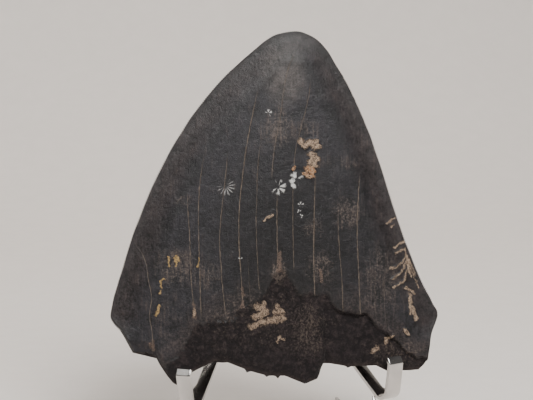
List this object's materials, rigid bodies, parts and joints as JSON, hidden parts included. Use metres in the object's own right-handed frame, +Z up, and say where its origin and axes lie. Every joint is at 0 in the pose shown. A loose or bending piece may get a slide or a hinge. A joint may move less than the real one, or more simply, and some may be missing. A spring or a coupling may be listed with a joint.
{
  "type": "fossil shark tooth on a display stand",
  "caption": "Large triangular fossil shark tooth with serrated edges and a broken root, resting on a low stand of bent polished metal bar.",
  "frame": {"origin": "centre of the object's footprint box, on the surface that it stands on", "axes": "+Z up, -Y towards the viewer of the tooth's outer face, +X to that viewer's right"},
  "size_m": [0.1121, 0.0734, 0.1399],
  "materials": {
    "tooth": "satin charcoal fossil enamel over rough brown-black root",
    "stand": "polished bright metal bar"
  },
  "bodies": {
    "root": {"tooth": "tooth", "left_arm": "stand", "right_arm": "stand", "left_leg": "stand", "right_leg": "stand"}
  },
  "joints": []
}
